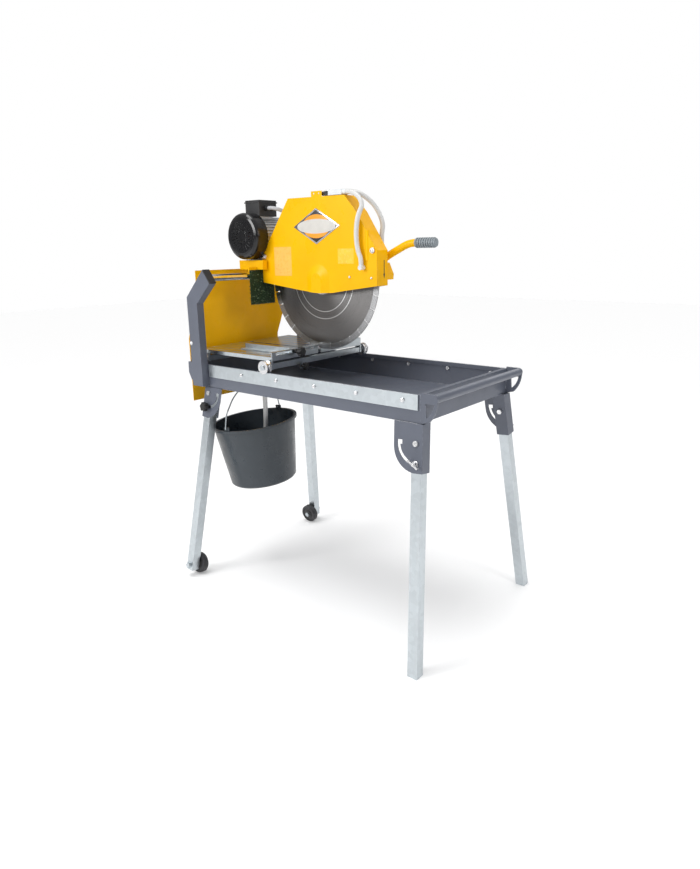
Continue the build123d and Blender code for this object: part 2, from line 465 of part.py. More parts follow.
drain = cyl_z(drain_x, drain_y, BENCH_BOTTOM + SHEET, BENCH_BOTTOM + SHEET + 2, 20)
drain += cyl_z(drain_x, drain_y, 727, BENCH_BOTTOM + SHEET, 10) + cyl_z(drain_x, drain_y, 748, BENCH_BOTTOM, 18)
parts["drain_fitting"] = drain - cyl_z(drain_x, drain_y, 720, 770, 6)

# ---------------------------------------------------------------- lifting handle and switch
HANDLE_Y, HANDLE_R, GRIP_Z = 54.0, 12.5, 1269.0
GRIP_X0, GRIP_X1, RIBS, RIB_PITCH = 264.0, 341.0, 8, 9.0
handle_path = Spline((96, HANDLE_Y, 1196), (156, HANDLE_Y, 1231), (204, HANDLE_Y, 1254), (262, HANDLE_Y, GRIP_Z),
                     tangents=[(1, 0, 0.62), (1, 0, 0)])
handle = sweep(Plane(handle_path @ 0, z_dir=handle_path % 0) * Circle(HANDLE_R), path=handle_path)
handle += cyl_x(HANDLE_Y, GRIP_Z, 262, GRIP_X1 - 4, HANDLE_R)
parts["lift_handle"] = handle - box(40, 200, 30, 80, 1100, BEAM_Z1)
grip = cyl_x(HANDLE_Y, GRIP_Z, GRIP_X0, GRIP_X1, 14)
for i in range(RIBS):
    rib_x = GRIP_X0 + 4 + RIB_PITCH * i
    grip += cyl_x(HANDLE_Y, GRIP_Z, rib_x, rib_x + RIB_PITCH / 2, 16.5)
parts["handle_grip"] = grip - cyl_x(HANDLE_Y, GRIP_Z, GRIP_X0 - 4, GRIP_X1 - 4, HANDLE_R)

switch = fillet(box(28, 92, BEAM_Y1, 122, 1132, 1225).edges(), 3)
switch += cyl_z(60, 99, 1224, 1240, 9.5)
for z, r in ((1198, 10), (1162, 12)):
    switch -= cyl_y(60, z, 112, 123, r + 0.4)
parts["switch_box"] = switch
parts["button_on"] = cyl_y(60, 1198, 116, 126, 10)
parts["button_off"] = cyl_y(60, 1162, 116, 129, 12)

# ---------------------------------------------------------------- rolling cart
table = box(TABLE_REAR, TABLE_FRONT - 3, -TABLE_HALF, TABLE_HALF, TABLE_TOP - 4, TABLE_TOP)
for side in (-1, 1):
    table += box(TABLE_REAR, TABLE_FRONT - 3, side * TABLE_HALF, side * (TABLE_HALF - 3), 882, TABLE_TOP)
    table += box(TABLE_REAR, TABLE_FRONT - 3, side * 9, side * 12, 884, TABLE_TOP)
    for y in (40, 85, 130, 175, 220):
        table -= box(TABLE_REAR - 1, TABLE_FRONT, side * (y - 3), side * (y + 3), TABLE_TOP - 1, TABLE_TOP + 1)
table += box(TABLE_REAR, TABLE_REAR + 3, -TABLE_HALF, TABLE_HALF, 882, TABLE_TOP)
table -= box(TABLE_REAR + 24, TABLE_FRONT, -7, 7, 870, TABLE_TOP + 1)
parts["cart_table"] = table

stop_near = box(TABLE_FRONT - 3, TABLE_FRONT, -TABLE_HALF, -9, 882, 912)
stop_near += box(TABLE_FRONT - 15, TABLE_FRONT, -TABLE_HALF, -9, 909, 912)
stop_far = far_side(stop_near)
stop_near -= box(TABLE_FRONT - 4, TABLE_FRONT + 1, -226, -30, 900, 909)
parts["front_stop"] = Part() + [stop_near, stop_far]

carriage = Part()
for x, stub_end in ((ROLLER_FRONT_X, 281.0), (ROLLER_REAR_X, 269.6)):
    carriage += box(x - 10, x + 10, -250, 250, ROLLER_Z - 10, ROLLER_Z + 10)
    carriage -= box(x - 8, x + 8, -251, 251, ROLLER_Z - 8, ROLLER_Z + 8)
    for side in (-1, 1):
        carriage += box(x - 12, x + 12, side * 240, side * 251, 853, 882)
        carriage += cyl_y(x, ROLLER_Z, side * 250, side * stub_end, 6)
        carriage += cyl_y(x, ROLLER_Z, side * 250, side * 257, 10)
for side in (-1, 1):
    carriage += cyl_y(ROLLER_FRONT_X, ROLLER_Z, side * 280.6, side * 284, 9)
KNOB_Y, KNOB_Z = -95.0, 847.0
carriage += box(ROLLER_FRONT_X + 6, ROLLER_FRONT_X + 10, KNOB_Y - 9, KNOB_Y + 9, 838, 856)
carriage -= cyl_x(KNOB_Y, KNOB_Z, ROLLER_FRONT_X + 5, ROLLER_FRONT_X + 11, 4 + RUN_FIT)
parts["cart_axles"] = carriage


def star_knob_x(y, z, x0, x1, r, stud_x):
    """A lobed knob on a stud along X."""
    knob = cyl_x(y, z, x0, x1, r - 4) + cyl_x(y, z, stud_x, x0 + 4, 4)
    for i in range(6):
        angle = math.radians(60 * i)
        knob += cyl_x(y + (r - 5) * math.cos(angle), z + (r - 5) * math.sin(angle), x0 + 2, x1 - 2, 5)
    return knob


parts["cart_knob"] = star_knob_x(KNOB_Y, KNOB_Z, -118, -102, 14, -133)

FENCE_Y = -140.0
fence = box(-375, -143, FENCE_Y - 1.5, FENCE_Y + 1.5, 896.5, 915)
fence += box(-375, -143, FENCE_Y - 25, FENCE_Y, 896.5, 899.5)
fence += box(-143, -130, FENCE_Y - 1.5, FENCE_Y + 1.5, 896.5, 908)
fence += box(-134, -130, FENCE_Y - 1.5, -118, 899, 908)
parts["fence"] = fence - cyl_x(-128, 904.5, -135, -129, 3 + RUN_FIT)
fence_knob = star_knob_x(-128, 904.5, -108, -88, 17, -112) + cyl_x(-128, 904.5, -134, -108, 3)
fence_knob += hex_x(-128, 904.5, -125.6, -118, 15)
parts["fence_knob"] = fence_knob

half_w = 11
roller_profile = [(6 + RUN_FIT, -half_w), (ROLLER_FLANGE_R, -half_w), (ROLLER_FLANGE_R, -8), (ROLLER_R, -6.5),
                  (ROLLER_R, 6.5), (ROLLER_FLANGE_R, 8), (ROLLER_FLANGE_R, half_w), (6 + RUN_FIT, half_w)]
REAR_ROLLER_Y0, REAR_ROLLER_STEP, REAR_ROLLER_Y1 = -258.0, -263.4, -269.5
rear_profile = [(6 + RUN_FIT, REAR_ROLLER_Y0), (ROLLER_FLANGE_R, REAR_ROLLER_Y0), (ROLLER_FLANGE_R, REAR_ROLLER_STEP),
                (ROLLER_R, REAR_ROLLER_STEP), (ROLLER_R, REAR_ROLLER_Y1), (6 + RUN_FIT, REAR_ROLLER_Y1)]
front_roller = Pos(0, -ROLLER_Y, 0) * spun_y(roller_profile, ROLLER_FRONT_X, ROLLER_Z)
rear_roller = spun_y(rear_profile, ROLLER_REAR_X, ROLLER_Z)
for end, near in (("front", front_roller), ("rear", rear_roller)):
    parts["roller_" + end + "_near"] = near
    parts["roller_" + end + "_far"] = far_side(near)

# ---------------------------------------------------------------- bucket and its bail
bail_place = (Pos(*BUCKET) * Rot(0, 0, BUCKET_TURN) * Rot(BAIL_TILT, 0, 0))
bucket_place = bail_place * Rot(0, BUCKET_TILT, 0)
rim_z, lip_z, floor_z = BUCKET_RIM_Z, BUCKET_RIM_Z - 9, BUCKET_RIM_Z - BUCKET_H
bucket_profile = [(0, floor_z), (BUCKET_BOTTOM_R - 6, floor_z), (BUCKET_BOTTOM_R, floor_z + 6),
                  (BUCKET_R - 1, lip_z), (BUCKET_LIP_R, lip_z), (BUCKET_LIP_R, rim_z), (BUCKET_R - 3, rim_z),
                  (BUCKET_BOTTOM_R - 3, floor_z + 4), (0, floor_z + 4)]
bucket = revolve(make_face(Polyline([(r, 0, z) for r, z in bucket_profile], close=True)), axis=Axis.Z)
EAR_IN, EAR_OUT = BUCKET_LIP_R - 13, BUCKET_LIP_R - 7
for side in (-1, 1):
    bucket += box(-12, 12, side * EAR_IN, side * EAR_OUT, lip_z, 7)
    bucket -= cyl_y(0, 0, side * (EAR_IN - 1), side * (EAR_OUT + 1), BAIL_R + 0.5)
parts["bucket"] = bucket_place * bucket

hook_y, ear_y = EAR_IN - 3.5, BUCKET_LIP_R - 1.5
half_bail = [(0, hook_y, 0), (0, ear_y, 0), (0, 157, 55), (0, 86, BAIL_H)]
bail_route = [(x, -y, z) for x, y, z in half_bail] + half_bail[::-1]
bail_bends = [5, 90, 120]
bail_path = FilletPolyline(*bail_route, radius=bail_bends + bail_bends[::-1])
bail = sweep(Plane(bail_path @ 0, z_dir=bail_path % 0) * Circle(BAIL_R), path=bail_path)
parts["bucket_bail"] = bail_place * bail

# ---------------------------------------------------------------- write
os.makedirs("parts", exist_ok=True)
low = [1e9] * 3
high = [-1e9] * 3
for name, shape in parts.items():
    export_step(shape, f"parts/{name}.step")
    bounds = shape.bounding_box()
    low = [min(a, b) for a, b in zip(low, bounds.min)]
    high = [max(a, b) for a, b in zip(high, bounds.max)]
print(len(parts), "parts; lowest corner", [round(v, 1) for v in low], "highest", [round(v, 1) for v in high])
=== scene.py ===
"""Looks of the masonry saw: materials, hoses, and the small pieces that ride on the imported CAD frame.

Everything is in the CAD part's own frame: X along the bench with the push handle at +X, Z up. Lengths are in
metres, apart from the cord routes, which are in millimetres as in the part's source.
"""

import json
import math
import random

import bmesh
import bpy
from mathutils import Matrix, Vector


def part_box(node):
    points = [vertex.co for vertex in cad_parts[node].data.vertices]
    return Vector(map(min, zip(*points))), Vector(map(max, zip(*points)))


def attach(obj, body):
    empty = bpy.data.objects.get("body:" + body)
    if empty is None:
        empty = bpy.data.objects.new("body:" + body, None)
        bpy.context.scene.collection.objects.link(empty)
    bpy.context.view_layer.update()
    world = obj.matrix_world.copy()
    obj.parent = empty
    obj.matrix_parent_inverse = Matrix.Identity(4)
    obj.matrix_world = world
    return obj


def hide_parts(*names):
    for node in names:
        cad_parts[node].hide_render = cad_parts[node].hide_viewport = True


MM = 0.001

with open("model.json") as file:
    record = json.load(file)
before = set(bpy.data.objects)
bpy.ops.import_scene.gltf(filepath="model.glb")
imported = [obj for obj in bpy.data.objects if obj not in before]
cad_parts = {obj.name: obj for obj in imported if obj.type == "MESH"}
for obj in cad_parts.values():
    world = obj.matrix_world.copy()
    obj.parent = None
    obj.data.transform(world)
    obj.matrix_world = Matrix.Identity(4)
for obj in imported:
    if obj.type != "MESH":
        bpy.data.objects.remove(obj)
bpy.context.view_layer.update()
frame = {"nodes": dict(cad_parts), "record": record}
scene = bpy.context.scene
scene.view_settings.view_transform = "Standard"


# ---------------------------------------------------------------- camera, light and floor
CAMERA_PLACE = (1.53879, -1.84246, 1.25216)
CAMERA_LOOK = (-0.61198, 0.74581, -0.26314)
CAMERA_UP = (-0.15487, 0.21327, 0.96464)
CAMERA_LENS = 34.39
CAMERA_SHIFT_X, CAMERA_SHIFT_Y = -0.0038, -0.0042
HORIZON_COLOUR = (0.42, 0.42, 0.43, 1)
OVERHEAD_COLOUR = (1.0, 1.0, 1.0, 1)
OVERHEAD_FROM = 0.75
STUDIO_GLOW = 0.60
FLOOR_HALF = 14.0
FLOOR_GLOW = 0.16


def set_camera():
    data = bpy.data.cameras.new("camera")
    data.sensor_fit = "HORIZONTAL"
    data.sensor_width = 36.0
    data.lens = CAMERA_LENS
    data.shift_x = CAMERA_SHIFT_X
    data.shift_y = CAMERA_SHIFT_Y
    camera = bpy.data.objects.new("camera", data)
    scene.collection.objects.link(camera)
    back = -Vector(CAMERA_LOOK).normalized()
    up = Vector(CAMERA_UP)
    right = up.cross(back).normalized()
    up = back.cross(right)
    turn = Matrix((right, up, back)).transposed().to_4x4()
    camera.matrix_world = Matrix.Translation(CAMERA_PLACE) @ turn
    scene.camera = camera


def area_light(name, place, target, size, power):
    data = bpy.data.lights.new(name, "AREA")
    data.size = size
    data.energy = power
    lamp = bpy.data.objects.new(name, data)
    lamp.location = place
    lamp.rotation_euler = (Vector(target) - Vector(place)).to_track_quat("-Z", "Y").to_euler()
    scene.collection.objects.link(lamp)


def sun_light(name, direction, angle, power):
    """A broad, even light along direction, with the soft shadow of a large overhead panel."""
    data = bpy.data.lights.new(name, "SUN")
    data.angle = math.radians(angle)
    data.energy = power
    lamp = bpy.data.objects.new(name, data)
    lamp.rotation_euler = Vector(direction).to_track_quat("-Z", "Y").to_euler()
    scene.collection.objects.link(lamp)


def set_world():
    """A pale studio: bright overhead, dimmer towards the horizon so that metal has something to reflect."""
    world = bpy.data.worlds.new("studio")
    world.use_nodes = True
    tree = world.node_tree
    tree.nodes.clear()
    output = tree.nodes.new("ShaderNodeOutputWorld")
    place = tree.nodes.new("ShaderNodeTexCoord")
    split = tree.nodes.new("ShaderNodeSeparateXYZ")
    ramp = tree.nodes.new("ShaderNodeValToRGB")
    glow = tree.nodes.new("ShaderNodeBackground")
    plain = tree.nodes.new("ShaderNodeBackground")
    path = tree.nodes.new("ShaderNodeLightPath")
    mix = tree.nodes.new("ShaderNodeMixShader")
    ramp.color_ramp.elements[0].position = 0.0
    ramp.color_ramp.elements[0].color = HORIZON_COLOUR
    ramp.color_ramp.elements[1].position = OVERHEAD_FROM
    ramp.color_ramp.elements[1].color = OVERHEAD_COLOUR
    glow.inputs["Strength"].default_value = STUDIO_GLOW
    plain.inputs["Color"].default_value = (1, 1, 1, 1)
    plain.inputs["Strength"].default_value = 1.0
    link = tree.links.new
    link(place.outputs["Generated"], split.inputs[0])
    link(split.outputs["Z"], ramp.inputs["Fac"])
    link(ramp.outputs["Color"], glow.inputs["Color"])
    link(path.outputs["Is Camera Ray"], mix.inputs[0])
    link(glow.outputs[0], mix.inputs[1])
    link(plain.outputs[0], mix.inputs[2])
    link(mix.outputs[0], output.inputs["Surface"])
    scene.world = world


def make_floor():
    """White paper under the saw, with a faint glow so that it fades into the white behind it."""
    mesh = bpy.data.meshes.new("floor")
    half = FLOOR_HALF
    corners = [(-half, -half, 0), (half, -half, 0), (half, half, 0), (-half, half, 0)]
    mesh.from_pydata(corners, [], [(0, 1, 2, 3)])
    floor = bpy.data.objects.new("floor", mesh)
    scene.collection.objects.link(floor)
    material = bpy.data.materials.new("floor_paper")
    material.use_nodes = True
    shader = material.node_tree.nodes["Principled BSDF"]
    shader.inputs["Base Color"].default_value = (0.80, 0.80, 0.80, 1)
    shader.inputs["Roughness"].default_value = 0.9
    shader.inputs["Specular IOR Level"].default_value = 0.1
    shader.inputs["Emission Color"].default_value = (1, 1, 1, 1)
    shader.inputs["Emission Strength"].default_value = FLOOR_GLOW
    mesh.materials.append(material)


set_camera()
set_world()
make_floor()
sun_light("overhead", direction=(0.12, 0.10, -1), angle=36, power=1.6)
area_light("key", place=(-1.4, -3.0, 2.2), target=(0, 0, 0.9), size=1.4, power=62)
area_light("side", place=(3.0, -0.5, 2.2), target=(0.2, 0, 1.1), size=1.0, power=22)
area_light("rim", place=(0.2, 3.0, 2.4), target=(0, 0, 0.9), size=1.6, power=12)


# ---------------------------------------------------------------- material kit
class Paint:
    """A principled material with short calls for the nodes that this scene uses."""

    def __init__(self, name, colour, rough, metallic=0.0, specular=0.5):
        self.material = bpy.data.materials.new(name)
        self.material.use_nodes = True
        self.tree = self.material.node_tree
        self.shader = self.tree.nodes["Principled BSDF"]
        self.shader.inputs["Metallic"].default_value = metallic
        self.shader.inputs["Specular IOR Level"].default_value = specular
        self.shader.inputs["Roughness"].default_value = rough
        self.shader.inputs["Base Color"].default_value = (*colour, 1)
        self.material.diffuse_color = (*colour, 1)

    def node(self, kind, **values):
        made = self.tree.nodes.new("ShaderNode" + kind)
        for key, value in values.items():
            if hasattr(made, key):
                setattr(made, key, value)
            else:
                made.inputs[key.replace("_", " ")].default_value = value
        return made

    def link(self, a, b):
        self.tree.links.new(a, b)

    def coords(self, scale=(1, 1, 1)):
        place = self.node("TexCoord")
        mapping = self.node("Mapping")
        mapping.inputs["Scale"].default_value = scale
        self.link(place.outputs["Object"], mapping.inputs["Vector"])
        return mapping.outputs["Vector"]

    def noise(self, scale, detail=3.0, rough=0.55, stretch=(1, 1, 1)):
        made = self.node("TexNoise", Scale=scale, Detail=detail, Roughness=rough)
        self.link(self.coords(stretch), made.inputs["Vector"])
        return made.outputs["Fac"]

    def cells(self, scale):
        made = self.node("TexVoronoi", Scale=scale)
        self.link(self.coords(), made.inputs["Vector"])
        return made.outputs["Color"]

    def ramp(self, fac, stops):
        made = self.node("ValToRGB")
        elements = made.color_ramp.elements
        while len(elements) < len(stops):
            elements.new(0.5)
        for element, (position, colour) in zip(elements, stops):
            element.position = position
            element.color = (*colour, 1) if len(colour) == 3 else colour
        self.link(fac, made.inputs["Fac"])
        return made.outputs["Color"]

    def grey(self, fac, low, high, start=0.3, end=0.7):
        return self.ramp(fac, [(start, (low,) * 3), (end, (high,) * 3)])

    def mix(self, fac, a, b, blend="MIX"):
        made = self.node("Mix", data_type="RGBA", blend_type=blend)
        for socket, value in ((made.inputs[0], fac), (made.inputs[6], a), (made.inputs[7], b)):
            if isinstance(value, (tuple, float, int)):
                socket.default_value = (*value, 1) if isinstance(value, tuple) else value
            else:
                self.link(value, socket)
        return made.outputs[2]

    def edges(self, radius):
        """A normal rounded by this radius, and a white mask along the edges that it softens: partly rubbed
        wear, partly a painted edge highlight.
        """
        rounded = self.node("Bevel", samples=4, Radius=radius)
        flat = self.node("NewGeometry")
        dot = self.node("VectorMath", operation="DOT_PRODUCT")
        self.link(rounded.outputs["Normal"], dot.inputs[0])
        self.link(flat.outputs["Normal"], dot.inputs[1])
        edge_wear_and_highlight = self.ramp(dot.outputs["Value"], [(0.80, (1, 1, 1)), (0.985, (0, 0, 0))])
        return rounded.outputs["Normal"], edge_wear_and_highlight

    def bump(self, height, strength, distance, normal=None):
        made = self.node("Bump", Strength=strength, Distance=distance)
        self.link(height, made.inputs["Height"])
        if normal is not None:
            self.link(normal, made.inputs["Normal"])
        self.link(made.outputs["Normal"], self.shader.inputs["Normal"])

    def colour(self, socket):
        self.link(socket, self.shader.inputs["Base Color"])

    def rough(self, socket):
        self.link(socket, self.shader.inputs["Roughness"])


def tint(colour, factor):
    return tuple(min(1.0, c * factor) for c in colour)


def powder_coat(name, colour, worn_and_highlight_colour, rough=0.36, grain=420, specular=0.5):
    """Sprayed and baked paint: a fine orange peel, faint blotches, and lighter edges broken into chips,
    partly rubbed wear and partly a painted edge highlight.
    """
    p = Paint(name, colour, rough, specular=specular)
    normal, edge_wear_and_highlight = p.edges(0.0016)
    blotch = p.ramp(p.noise(7, 4), [(0.3, tint(colour, 0.93)), (0.7, tint(colour, 1.05))])
    # The chipped edges take a lighter colour: partly rubbed wear, partly a painted edge highlight.
    chips_and_edge_highlight = p.mix(1.0, edge_wear_and_highlight, p.grey(p.noise(60, 4), 0.0, 1.0, 0.42, 0.62), "MULTIPLY")
    p.colour(p.mix(chips_and_edge_highlight, blotch, worn_and_highlight_colour))
    p.rough(p.grey(p.noise(16, 3), rough - 0.06, rough + 0.08))
    p.bump(p.noise(grain, 2), 0.10, 0.0006, normal)
    return p.material


def zinc_coat(name, light=1.0, spangle=75, rough=0.34):
    """Hot-dip zinc: crystal cells that differ a little in brightness, with streaks and dull patches."""
    base = (0.63 * light, 0.68 * light, 0.71 * light)
    p = Paint(name, base, rough, metallic=1.0)
    normal, edge_wear_and_highlight = p.edges(0.0012)
    cell = p.node("SeparateColor")
    p.link(p.cells(spangle), cell.inputs[0])
    crystal = p.ramp(cell.outputs[0], [(0.0, tint(base, 0.95)), (1.0, tint(base, 1.05))])
    stain = p.mix(p.grey(p.noise(9, 5), 0.0, 0.4, 0.45, 0.75), crystal, tint(base, 0.88))
    # Lighter along every edge: partly rubbed wear, partly a painted edge highlight.
    p.colour(p.mix(edge_wear_and_highlight, stain, tint(base, 1.25)))
    p.rough(p.grey(cell.outputs[1], rough - 0.03, rough + 0.05, 0.0, 1.0))
    p.bump(p.noise(260, 3), 0.06, 0.0004, normal)
    return p.material


def turned_metal(name, colour, rough=0.28, stretch=(1, 1, 1)):
    """Machined or plated steel with fine tool lines."""
    p = Paint(name, colour, rough, metallic=1.0)
    normal, edge_wear_and_highlight = p.edges(0.0007)
    line = p.noise(240, 2, 0.6, stretch)
    lines = p.ramp(line, [(0.3, tint(colour, 0.9)), (0.7, tint(colour, 1.08))])
    # Lighter along every edge: partly rubbed wear, partly a painted edge highlight.
    p.colour(p.mix(edge_wear_and_highlight, lines, tint(colour, 1.2)))
    p.rough(p.grey(line, rough - 0.07, rough + 0.12))
    p.bump(line, 0.05, 0.0003, normal)
    return p.material


def moulded(name, colour, rough=0.5, grain=700, depth=0.0003, dust_and_edge_light=1.6):
    """Moulded plastic or rubber: a fine leathery grain, dustier in patches."""
    p = Paint(name, colour, rough)
    normal, edge_wear_and_highlight = p.edges(0.001)
    # One factor sets both the dusty patches and the lighter edges below; the edges are partly rubbed wear,
    # partly a painted edge highlight.
    dust = p.ramp(p.noise(11, 5), [(0.35, colour), (0.75, tint(colour, dust_and_edge_light))])
    p.colour(p.mix(edge_wear_and_highlight, dust, tint(colour, dust_and_edge_light * 1.3)))
    p.rough(p.grey(p.noise(24, 3), rough - 0.08, rough + 0.10))
    p.bump(p.noise(grain, 2), 0.18, depth, normal)
    return p.material


def cast_alloy(name, colour, rough=0.42):
    """Die-cast aluminium with a sandy skin."""
    p = Paint(name, colour, rough, metallic=0.9)
    normal, edge_wear_and_highlight = p.edges(0.001)
    skin = p.ramp(p.noise(30, 5), [(0.3, tint(colour, 0.85)), (0.7, tint(colour, 1.05))])
    # Lighter along every edge: partly rubbed wear, partly a painted edge highlight.
    p.colour(p.mix(edge_wear_and_highlight, skin, tint(colour, 1.25)))
    p.rough(p.grey(p.noise(50, 3), rough - 0.05, rough + 0.12))
    p.bump(p.noise(900, 3), 0.25, 0.0004, normal)
    return p.material


BLADE_CENTRE = (-0.097, 0.0, 1.149)
BLADE_STEEL = (0.155, 0.150, 0.148)
WHITE_RINGS = (0.114, 0.140)
RING_WHITE = (0.78, 0.78, 0.78)
RING_LINE, RING_FADE = 0.0006, 0.0012
SEGMENTS_FROM, SEGMENTS_FULL = 0.2275, 0.229
SEGMENT_GREY, RIM_GREY = (0.30, 0.30, 0.305), (0.34, 0.34, 0.345)
BLADE_REACH = 0.26


def blade_stops():
    """Colour against radius: the steel, two thin white rings, and grey segments from near the rim outwards.
    """
    stops = [(0.0, BLADE_STEEL)]
    for ring in WHITE_RINGS:
        stops += [(ring - RING_FADE, BLADE_STEEL), (ring - RING_LINE, RING_WHITE),
                  (ring + RING_LINE, RING_WHITE), (ring + RING_FADE, BLADE_STEEL)]
    stops += [(SEGMENTS_FROM, BLADE_STEEL), (SEGMENTS_FULL, SEGMENT_GREY), (BLADE_REACH, RIM_GREY)]
    return [(min(radius / BLADE_REACH, 1.0), colour) for radius, colour in stops]


def radius_on_blade(p):
    """The distance from the blade's axis, which runs along Y."""
    place = p.node("TexCoord")
    offset = p.node("VectorMath", operation="SUBTRACT")
    offset.inputs[1].default_value = BLADE_CENTRE
    flatten = p.node("VectorMath", operation="MULTIPLY")
    flatten.inputs[1].default_value = (1, 0, 1)
    length = p.node("VectorMath", operation="LENGTH")
    p.link(place.outputs["Object"], offset.inputs[0])
    p.link(offset.outputs[0], flatten.inputs[0])
    p.link(flatten.outputs[0], length.inputs[0])
    return length.outputs["Value"]


def saw_steel():
    """The blade: ground steel with a fine turned grain, two thin white rings, and grey segments at the rim.
    """
    p = Paint("blade_steel", BLADE_STEEL, 0.30, metallic=1.0)
    p.shader.inputs["Anisotropic"].default_value = 0.75
    radius = radius_on_blade(p)
    grain = p.node("TexNoise", noise_dimensions="1D", Scale=1600.0, Detail=2.0)
    p.link(radius, grain.inputs["W"])
    scaled = p.node("Math", operation="MULTIPLY")
    scaled.inputs[1].default_value = 1 / BLADE_REACH
    p.link(radius, scaled.inputs[0])
    radial_colour = p.ramp(scaled.outputs[0], blade_stops())
    tool_lines = p.ramp(grain.outputs["Fac"], [(0.3, (0.6,) * 3), (0.7, (1.2,) * 3)])
    p.colour(p.mix(0.35, radial_colour, tool_lines, "MULTIPLY"))
    p.rough(p.grey(grain.outputs["Fac"], 0.22, 0.36))
    tangent = p.node("Tangent", direction_type="RADIAL", axis="Y")
    p.link(tangent.outputs[0], p.shader.inputs["Tangent"])
    p.bump(grain.outputs["Fac"], 0.05, 0.0002)
    return p.material


# The last two stops are pale fibres painted as glints of light; the rest are the fibres' own greens.
FIBRE_GREENS_AND_GLINTS = [(0.0, (0.002, 0.006, 0.002)), (0.5, (0.006, 0.020, 0.005)), (0.88, (0.014, 0.050, 0.010)),
                (0.94, (0.26, 0.38, 0.18)), (1.0, (0.50, 0.62, 0.42))]


def grass_fibre():
    """The mat's fibres: mostly dark green, each with its own tone, and a few painted pale as glints that
    catch the light.
    """
    p = Paint("mat_fibre", (0.03, 0.09, 0.02), 0.6)
    info = p.node("NewGeometry")
    p.colour(p.ramp(info.outputs["Random Per Island"], FIBRE_GREENS_AND_GLINTS))
    return p.material


VALVE_END_X = -0.044


def fitting_plastic():
    """The water fittings: a black valve at one end, then a milky manifold and nozzles."""
    black, milky = (0.015, 0.015, 0.017), (0.72, 0.75, 0.77)
    p = Paint("valve_plastic", black, 0.22)
    normal, edge_wear_and_highlight = p.edges(0.0008)
    split = p.node("SeparateXYZ")
    p.link(p.coords(), split.inputs[0])
    past_valve = p.node("Math", operation="GREATER_THAN")
    past_valve.inputs[1].default_value = VALVE_END_X
    p.link(split.outputs["X"], past_valve.inputs[0])
    cloudy = p.ramp(p.noise(45, 4), [(0.3, tint(milky, 0.90)), (0.7, tint(milky, 1.08))])
    # The near-white edges are partly rubbed wear, partly a painted edge highlight.
    p.colour(p.mix(edge_wear_and_highlight, p.mix(past_valve.outputs[0], black, cloudy), (0.85, 0.87, 0.88)))
    p.rough(p.grey(p.noise(60, 3), 0.16, 0.32))
    p.bump(p.noise(300, 2), 0.08, 0.0003, normal)
    return p.material


WHEEL_CENTRE = (-0.5134, 0.3271, 0.0409)
TYRE_INNER_R = 0.0335


def wheel_rubber():
    """The stand's wheels: a black tyre round a grey hub, told apart by distance from its centre."""
    tyre, hub = (0.016, 0.016, 0.018), (0.05, 0.05, 0.052)
    p = Paint("wheel_tyre", tyre, 0.5)
    normal, edge_wear_and_highlight = p.edges(0.001)
    mirrored = p.node("VectorMath", operation="ABSOLUTE")
    p.link(p.coords(), mirrored.inputs[0])
    away = p.node("VectorMath", operation="DISTANCE")
    away.inputs[1].default_value = tuple(abs(c) for c in WHEEL_CENTRE)
    p.link(mirrored.outputs[0], away.inputs[0])
    on_tyre = p.node("Math", operation="GREATER_THAN")
    on_tyre.inputs[1].default_value = TYRE_INNER_R
    p.link(away.outputs["Value"], on_tyre.inputs[0])
    dust = p.ramp(p.noise(30, 5), [(0.35, tyre), (0.8, tint(tyre, 3.5))])
    plastic = p.ramp(p.noise(18, 4), [(0.3, tint(hub, 0.8)), (0.7, hub)])
    # The lighter edges on tyre and hub are partly rubbed wear, partly a painted edge highlight.
    p.colour(p.mix(edge_wear_and_highlight, p.mix(on_tyre.outputs[0], plastic, dust), tint(hub, 1.2)))
    p.rough(p.grey(p.noise(24, 3), 0.42, 0.62))
    p.bump(p.noise(500, 2), 0.15, 0.0004, normal)
    return p.material


YELLOW = (0.95, 0.49, 0.0)
SLATE = (0.105, 0.117, 0.150)
LOOK = {
    # The third colour of each powder coat is its lighter edge colour: partly rubbed wear, partly a painted
    # edge highlight.
    "frame_paint": powder_coat("frame_paint", SLATE, (0.42, 0.44, 0.50)),
    "yellow_paint": powder_coat("yellow_paint", YELLOW, (1.0, 0.72, 0.06),
                                rough=0.30, grain=300, specular=0.16),
    "black_paint": powder_coat("black_paint", (0.006, 0.006, 0.007), (0.06, 0.06, 0.065), rough=0.16),
    "galvanised": zinc_coat("galvanised", light=0.86),
    "table_sheet": zinc_coat("table_sheet", light=0.95, spangle=40, rough=0.22),
    "zinc": turned_metal("zinc", (0.74, 0.74, 0.75)),
    "shaft_chrome": turned_metal("shaft_chrome", (0.78, 0.78, 0.80), rough=0.12, stretch=(0.1, 1, 0.1)),
    "pulley_iron": cast_alloy("pulley_iron", (0.20, 0.20, 0.21)),
    "motor_alloy": cast_alloy("motor_alloy", (0.62, 0.64, 0.66)),
    "blade_steel": saw_steel(),
    "black_plastic": moulded("black_plastic", (0.012, 0.012, 0.013), rough=0.42),
    "grey_plastic": moulded("grey_plastic", (0.35, 0.36, 0.38), rough=0.45),
    "green_button": moulded("green_button", (0.02, 0.30, 0.06), rough=0.3),
    "red_button": moulded("red_button", (0.55, 0.01, 0.01), rough=0.3),
    "valve_plastic": fitting_plastic(),
    "hose_rubber": moulded("hose_rubber", (0.66, 0.66, 0.65), rough=0.28, grain=200, dust_and_edge_light=0.94),
    "conduit_plastic": moulded("conduit_plastic", (0.45, 0.46, 0.48), rough=0.4, dust_and_edge_light=0.9),
    "belt_rubber": moulded("belt_rubber", (0.015, 0.015, 0.015), rough=0.7),
    "mat_rubber": moulded("mat_rubber", (0.02, 0.05, 0.015), rough=0.8),
    "grip_rubber": moulded("grip_rubber", (0.22, 0.25, 0.27), rough=0.45, dust_and_edge_light=1.25),
    "wheel_tyre": wheel_rubber(),
}
